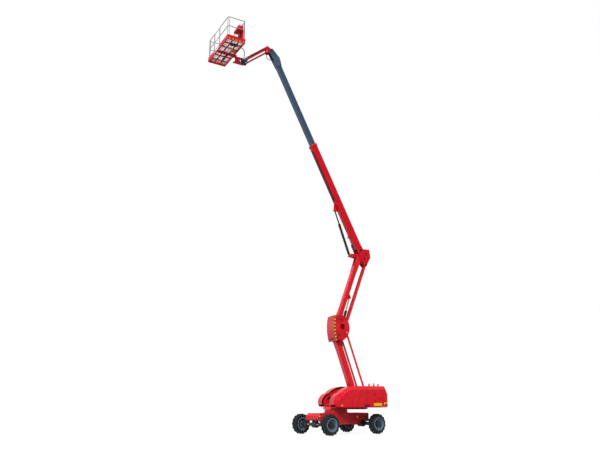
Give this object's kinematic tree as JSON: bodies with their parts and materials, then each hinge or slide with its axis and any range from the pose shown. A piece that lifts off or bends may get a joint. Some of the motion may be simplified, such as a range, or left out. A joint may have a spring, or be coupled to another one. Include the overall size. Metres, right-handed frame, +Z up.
{
  "type": "articulating boom lift",
  "caption": "Self-propelled boom lift: slewing turntable, two folding arms, telescopic boom, jib and a railed work platform.",
  "frame": {"origin": "on the ground under the slewing axis", "axes": "+X the way the boom points in plan, +Y the machine's left, +Z up"},
  "size_m": [8.7185, 3.4318, 19.686],
  "materials": {
    "chassis_red": "satin",
    "boom_blue": "satin",
    "arm_red": "satin",
    "black_paint": "satin",
    "rail_grey": "satin",
    "rim_grey": "satin",
    "rod_chrome": "polished",
    "tyre_rubber": "matt",
    "axle_black": "matt",
    "iron": "matt",
    "duct_black": "matt",
    "console_red": "satin"
  },
  "bodies": {
    "chassis": {"chassis_frame": "chassis_red", "front_axle": "axle_black", "rear_axle": "axle_black"},
    "turntable": {"turntable_frame": "chassis_red", "counterweight": "chassis_red", "engine_block": "iron"},
    "hood_left": {"hood_left": "chassis_red"},
    "hood_right": {"hood_right": "chassis_red"},
    "lower_arm": {"lower_arm": "arm_red"},
    "levelling_rods": {"levelling_rods": "arm_red"},
    "mid_pivot": {"mid_pivot": "arm_red"},
    "upper_arm": {"upper_arm": "arm_red"},
    "upper_link": {"upper_link": "arm_red"},
    "elbow": {"elbow": "arm_red"},
    "boom_base": {"boom_base": "arm_red", "hose_tube": "duct_black"},
    "boom_fly": {"boom_fly": "boom_blue"},
    "jib_bracket": {"jib_bracket": "arm_red"},
    "jib_upper_arm": {"jib_upper_arm": "arm_red"},
    "jib_lower_arm": {"jib_lower_arm": "arm_red"},
    "jib_end": {"jib_end": "arm_red"},
    "platform": {"platform_support": "chassis_red", "platform_floor": "chassis_red", "platform_rails": "rail_grey", "platform_posts": "rail_grey", "console": "console_red"},
    "gate": {"gate": "rail_grey"},
    "knuckle_left": {"knuckle_left": "axle_black"},
    "knuckle_right": {"knuckle_right": "axle_black"},
    "riser_cylinder": {"riser_cylinder": "black_paint"},
    "riser_cylinder_rod": {"riser_cylinder_rod": "rod_chrome"},
    "tower_cylinder": {"tower_cylinder": "black_paint"},
    "tower_cylinder_rod": {"tower_cylinder_rod": "rod_chrome"},
    "boom_cylinder": {"boom_cylinder": "black_paint"},
    "boom_cylinder_rod": {"boom_cylinder_rod": "rod_chrome"},
    "level_cylinder": {"level_cylinder": "black_paint"},
    "level_cylinder_rod": {"level_cylinder_rod": "rod_chrome"},
    "wheel_front_left": {"tyre_front_left": "tyre_rubber", "rim_front_left": "rim_grey"},
    "wheel_front_right": {"tyre_front_right": "tyre_rubber", "rim_front_right": "rim_grey"},
    "wheel_rear_left": {"tyre_rear_left": "tyre_rubber", "rim_rear_left": "rim_grey"},
    "wheel_rear_right": {"tyre_rear_right": "tyre_rubber", "rim_rear_right": "rim_grey"}
  },
  "joints": [
    {"name": "slew", "type": "hinge", "parent": "chassis", "child": "turntable", "pos_m": [0, 0, 1.085], "axis": [0, 0, 1], "continuous": true},
    {"name": "hood_left_open", "type": "hinge", "parent": "turntable", "child": "hood_left", "pos_m": [-1.2, 0.47, 2.092], "axis": [1, 0, 0], "range_deg": [0, 60]},
    {"name": "hood_right_open", "type": "hinge", "parent": "turntable", "child": "hood_right", "pos_m": [-1.2, -0.47, 2.092], "axis": [-1, 0, 0], "range_deg": [0, 60]},
    {"name": "riser_lift", "type": "hinge", "parent": "turntable", "child": "lower_arm", "pos_m": [-0.933, 0, 1.64], "axis": [0, -1, 0], "range_deg": [-71.5, 0]},
    {"name": "rods_turn", "type": "hinge", "parent": "turntable", "child": "levelling_rods", "pos_m": [-1.348, 0, 1.755], "axis": [0, -1, 0], "range_deg": [-71.5, 0]},
    {"name": "mid_pivot_level", "type": "hinge", "parent": "lower_arm", "child": "mid_pivot", "pos_m": [-0.01986, 0, 4.45037], "axis": [0, -1, 0], "range_deg": [0, 71.5]},
    {"name": "upper_arm_lift", "type": "hinge", "parent": "mid_pivot", "child": "upper_arm", "pos_m": [-0.14985, 0, 5.16037], "axis": [0, -1, 0], "range_deg": [0, 71.5]},
    {"name": "upper_link_turn", "type": "hinge", "parent": "mid_pivot", "child": "upper_link", "pos_m": [-0.51985, 0, 4.89037], "axis": [0, -1, 0], "range_deg": [0, 71.5]},
    {"name": "elbow_level", "type": "hinge", "parent": "upper_arm", "child": "elbow", "pos_m": [-1.26484, 0, 8.22377], "axis": [0, -1, 0], "range_deg": [-71.5, 0]},
    {"name": "boom_lift", "type": "hinge", "parent": "elbow", "child": "boom_base", "pos_m": [-1.35984, 0, 8.69377], "axis": [0, -1, 0], "range_deg": [-64.3, 9.2]},
    {"name": "telescope", "type": "slide", "parent": "boom_base", "child": "boom_fly", "axis": [0.4099, 0, 0.9121], "range_m": [-4.3, 0]},
    {"name": "bracket_level", "type": "hinge", "parent": "boom_fly", "child": "jib_bracket", "pos_m": [3.40813, 0, 19.07124], "axis": [0, -1, 0], "range_deg": [-9.2, 64.3]},
    {"name": "jib_lift", "type": "hinge", "parent": "jib_bracket", "child": "jib_upper_arm", "pos_m": [3.56313, 0, 19.25624], "axis": [0, -1, 0], "range_deg": [-22, 108]},
    {"name": "jib_lower_turn", "type": "hinge", "parent": "jib_bracket", "child": "jib_lower_arm", "pos_m": [3.60313, 0, 18.97624], "axis": [0, -1, 0], "range_deg": [-22, 108]},
    {"name": "jib_end_level", "type": "hinge", "parent": "jib_upper_arm", "child": "jib_end", "pos_m": [4.65059, 0, 18.40663], "axis": [0, -1, 0], "range_deg": [-108, 22]},
    {"name": "platform_rotate", "type": "hinge", "parent": "jib_end", "child": "platform", "pos_m": [4.86559, 0, 18.43663], "axis": [0, 0, 1], "range_deg": [-101.5, 78.5]},
    {"name": "gate_open", "type": "hinge", "parent": "platform", "child": "gate", "pos_m": [6.28697, -0.21494, 19.13663], "axis": [0, 0, 1], "range_deg": [0, 85]},
    {"name": "riser_cylinder_turn", "type": "hinge", "parent": "turntable", "child": "riser_cylinder", "pos_m": [0.317, 0, 1.31], "axis": [0, -1, 0], "range_deg": [0, 25.95]},
    {"name": "riser_cylinder_slide", "type": "slide", "parent": "riser_cylinder", "child": "riser_cylinder_rod", "axis": [-0.8051, 0, 0.5932], "range_m": [-0.34068, 0]},
    {"name": "tower_cylinder_turn", "type": "hinge", "parent": "mid_pivot", "child": "tower_cylinder", "pos_m": [-0.32986, 0, 4.76037], "axis": [0, -1, 0], "range_deg": [0, 63.36]},
    {"name": "tower_cylinder_slide", "type": "slide", "parent": "tower_cylinder", "child": "tower_cylinder_rod", "axis": [-0.2903, 0, 0.9569], "range_m": [-0.4792, 0]},
    {"name": "boom_cylinder_turn", "type": "hinge", "parent": "elbow", "child": "boom_cylinder", "pos_m": [-0.87984, -0.075, 8.42177], "axis": [0, -1, 0], "range_deg": [-68.57, 9.81]},
    {"name": "boom_cylinder_slide", "type": "slide", "parent": "boom_cylinder", "child": "boom_cylinder_rod", "axis": [0.3122, 0, 0.95], "range_m": [-0.55712, 0.07972]},
    {"name": "level_cylinder_turn", "type": "hinge", "parent": "elbow", "child": "level_cylinder", "pos_m": [-1.15984, 0.065, 8.43577], "axis": [0, -1, 0], "range_deg": [-62.55, 8.95]},
    {"name": "level_cylinder_slide", "type": "slide", "parent": "level_cylinder", "child": "level_cylinder_rod", "axis": [0.3834, 0, 0.9236], "range_m": [-0.34693, 0.04965]},
    {"name": "steer_left", "type": "hinge", "parent": "chassis", "child": "knuckle_left", "pos_m": [0.91688, 1.09702, 0.45], "axis": [0, 0, 1], "range_deg": [-32, 32]},
    {"name": "steer_right", "type": "hinge", "parent": "chassis", "child": "knuckle_right", "pos_m": [1.38658, -0.34858, 0.45], "axis": [0, 0, 1], "range_deg": [-32, 32]},
    {"name": "wheel_front_left_spin", "type": "hinge", "parent": "knuckle_left", "child": "wheel_front_left", "pos_m": [0.82108, 1.39185, 0.45], "axis": [-0.309, 0.9511, 0], "continuous": true},
    {"name": "wheel_front_right_spin", "type": "hinge", "parent": "knuckle_right", "child": "wheel_front_right", "pos_m": [1.48238, -0.64341, 0.45], "axis": [-0.309, 0.9511, 0], "continuous": true},
    {"name": "wheel_rear_left_spin", "type": "hinge", "parent": "chassis", "child": "wheel_rear_left", "pos_m": [-1.79432, 0.54205, 0.45], "axis": [-0.309, 0.9511, 0], "continuous": true},
    {"name": "wheel_rear_right_spin", "type": "hinge", "parent": "chassis", "child": "wheel_rear_right", "pos_m": [-1.13303, -1.49321, 0.45], "axis": [-0.309, 0.9511, 0], "continuous": true}
  ],
  "couplings": [
    {"joint": "rods_turn", "follows": "riser_lift", "ratio": 1},
    {"joint": "mid_pivot_level", "follows": "riser_lift", "ratio": -1},
    {"joint": "upper_arm_lift", "follows": "riser_lift", "ratio": -1},
    {"joint": "upper_link_turn", "follows": "riser_lift", "ratio": -1},
    {"joint": "elbow_level", "follows": "riser_lift", "ratio": 1},
    {"joint": "bracket_level", "follows": "boom_lift", "ratio": -1},
    {"joint": "jib_lower_turn", "follows": "jib_lift", "ratio": 1},
    {"joint": "jib_end_level", "follows": "jib_lift", "ratio": -1},
    {"joint": "riser_cylinder_turn", "follows": "riser_lift", "ratio": -0.36291},
    {"joint": "riser_cylinder_slide", "follows": "riser_lift", "m_per_rad": 0.27299},
    {"joint": "tower_cylinder_turn", "follows": "riser_lift", "ratio": -0.88616},
    {"joint": "tower_cylinder_slide", "follows": "riser_lift", "m_per_rad": 0.38399},
    {"joint": "boom_cylinder_turn", "follows": "boom_lift", "ratio": 1.0663},
    {"joint": "boom_cylinder_slide", "follows": "boom_lift", "m_per_rad": 0.49643},
    {"joint": "level_cylinder_turn", "follows": "boom_lift", "ratio": 0.97272},
    {"joint": "level_cylinder_slide", "follows": "boom_lift", "m_per_rad": 0.30913},
    {"joint": "steer_right", "follows": "steer_left", "ratio": 1}
  ]
}
